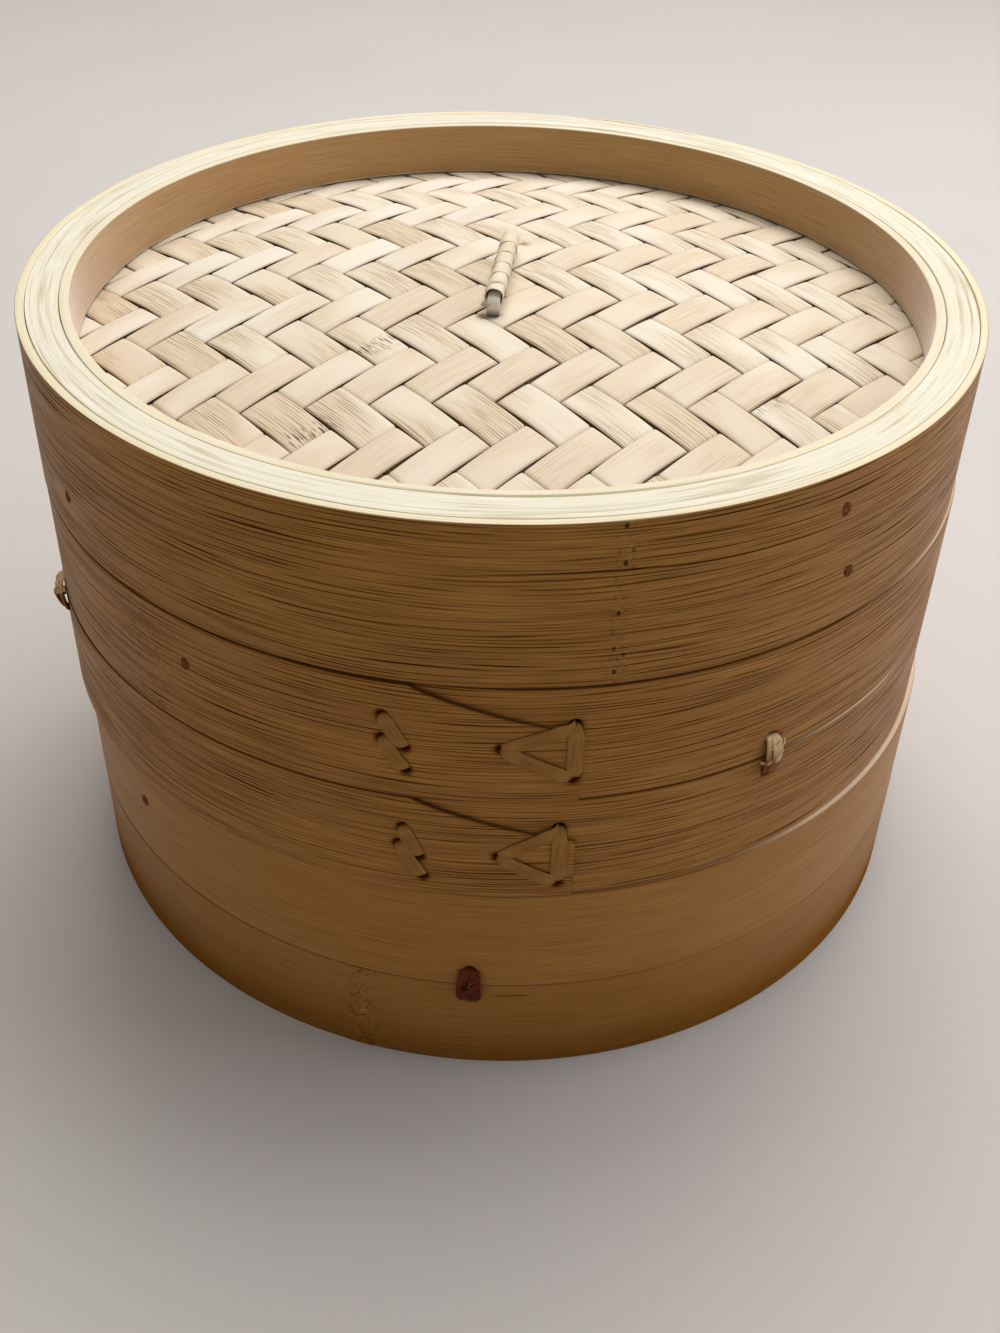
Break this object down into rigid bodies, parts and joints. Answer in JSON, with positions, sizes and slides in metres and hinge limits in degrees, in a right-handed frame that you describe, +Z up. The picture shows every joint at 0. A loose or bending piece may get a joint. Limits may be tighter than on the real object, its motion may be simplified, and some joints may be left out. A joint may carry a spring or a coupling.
{
  "type": "bamboo steamer",
  "caption": "Round stacking steamer of bent bamboo hoops, with slatted tiers, a lift-off lid with a sunk woven panel and a wrapped handle.",
  "frame": {"origin": "centre of the lower tier's base, on the surface that the steamer stands on", "axes": "+Z up along the stack, -Y towards the laced laps of the upper tier, +X to the right of them"},
  "size_m": [0.256, 0.2587, 0.1753],
  "materials": {
    "bamboo_skin": "smooth honey-tan bamboo skin with fine lengthwise grain, satin",
    "bamboo_core": "pale cream split bamboo, dry and fibrous on its cut edges",
    "woven_strip": "thin pale bamboo strip, matt, with fine fibre lines",
    "lace_strip": "split cane lacing, dry and slightly frayed",
    "floor_slat": "planed bamboo slat, matt",
    "pin": "dark dry bamboo peg, cut flush"
  },
  "bodies": {
    "lower_tier": {"lower_tier_core_hoop": "bamboo_core", "lower_tier_liner_hoop": "bamboo_core", "lower_tier_upper_outer_hoop": "bamboo_skin", "lower_tier_lower_outer_hoop": "bamboo_skin", "lower_tier_floor_ring": "bamboo_core", "lower_tier_cross_bar_1": "floor_slat", "lower_tier_cross_bar_2": "floor_slat", "lower_tier_slat_1": "floor_slat", "lower_tier_slat_2": "floor_slat", "lower_tier_slat_3": "floor_slat", "lower_tier_slat_4": "floor_slat", "lower_tier_slat_5": "floor_slat", "lower_tier_slat_6": "floor_slat", "lower_tier_slat_7": "floor_slat", "lower_tier_slat_8": "floor_slat", "lower_tier_upper_lap_stitch": "lace_strip", "lower_tier_upper_lap_triangle": "lace_strip", "lower_tier_lower_lap_stitch": "lace_strip", "lower_tier_lower_lap_triangle": "lace_strip", "lower_tier_seam_knot_1": "lace_strip", "lower_tier_seam_knot_2": "lace_strip", "lower_tier_seam_knot_3": "lace_strip", "lower_tier_pin_1": "pin", "lower_tier_pin_2": "pin"},
    "upper_tier": {"upper_tier_core_hoop": "bamboo_core", "upper_tier_liner_hoop": "bamboo_core", "upper_tier_upper_outer_hoop": "bamboo_skin", "upper_tier_lower_outer_hoop": "bamboo_skin", "upper_tier_floor_ring": "bamboo_core", "upper_tier_cross_bar_1": "floor_slat", "upper_tier_cross_bar_2": "floor_slat", "upper_tier_slat_1": "floor_slat", "upper_tier_slat_2": "floor_slat", "upper_tier_slat_3": "floor_slat", "upper_tier_slat_4": "floor_slat", "upper_tier_slat_5": "floor_slat", "upper_tier_slat_6": "floor_slat", "upper_tier_slat_7": "floor_slat", "upper_tier_slat_8": "floor_slat", "upper_tier_upper_lap_stitch": "lace_strip", "upper_tier_upper_lap_triangle": "lace_strip", "upper_tier_lower_lap_stitch": "lace_strip", "upper_tier_lower_lap_triangle": "lace_strip", "upper_tier_seam_knot_1": "lace_strip", "upper_tier_seam_knot_2": "lace_strip", "upper_tier_seam_knot_3": "lace_strip", "upper_tier_pin_1": "pin", "upper_tier_pin_2": "pin"},
    "lid": {"lid_outer_hoop": "bamboo_skin", "lid_core_hoop": "bamboo_core", "lid_top_liner": "bamboo_core", "lid_bottom_liner": "bamboo_core", "lid_woven_panel": "woven_strip", "lid_pin_1": "pin", "lid_pin_2": "pin", "lid_pin_3": "pin", "lid_pin_4": "pin"},
    "handle": {"handle_core": "lace_strip", "handle_wrap": "woven_strip"}
  },
  "joints": [
    {"name": "upper_tier_lift", "type": "slide", "parent": "lower_tier", "child": "upper_tier", "axis": [0, 0, 1], "range_m": [0, 0.08]},
    {"name": "lid_lift", "type": "slide", "parent": "upper_tier", "child": "lid", "axis": [0, 0, 1], "range_m": [0, 0.08]},
    {"name": "handle_rock", "type": "hinge", "parent": "lid", "child": "handle", "pos_m": [-0.00242, 0.00379, 0.16687], "axis": [0.1011, 0.9949, 0], "range_deg": [-25, 25]}
  ]
}
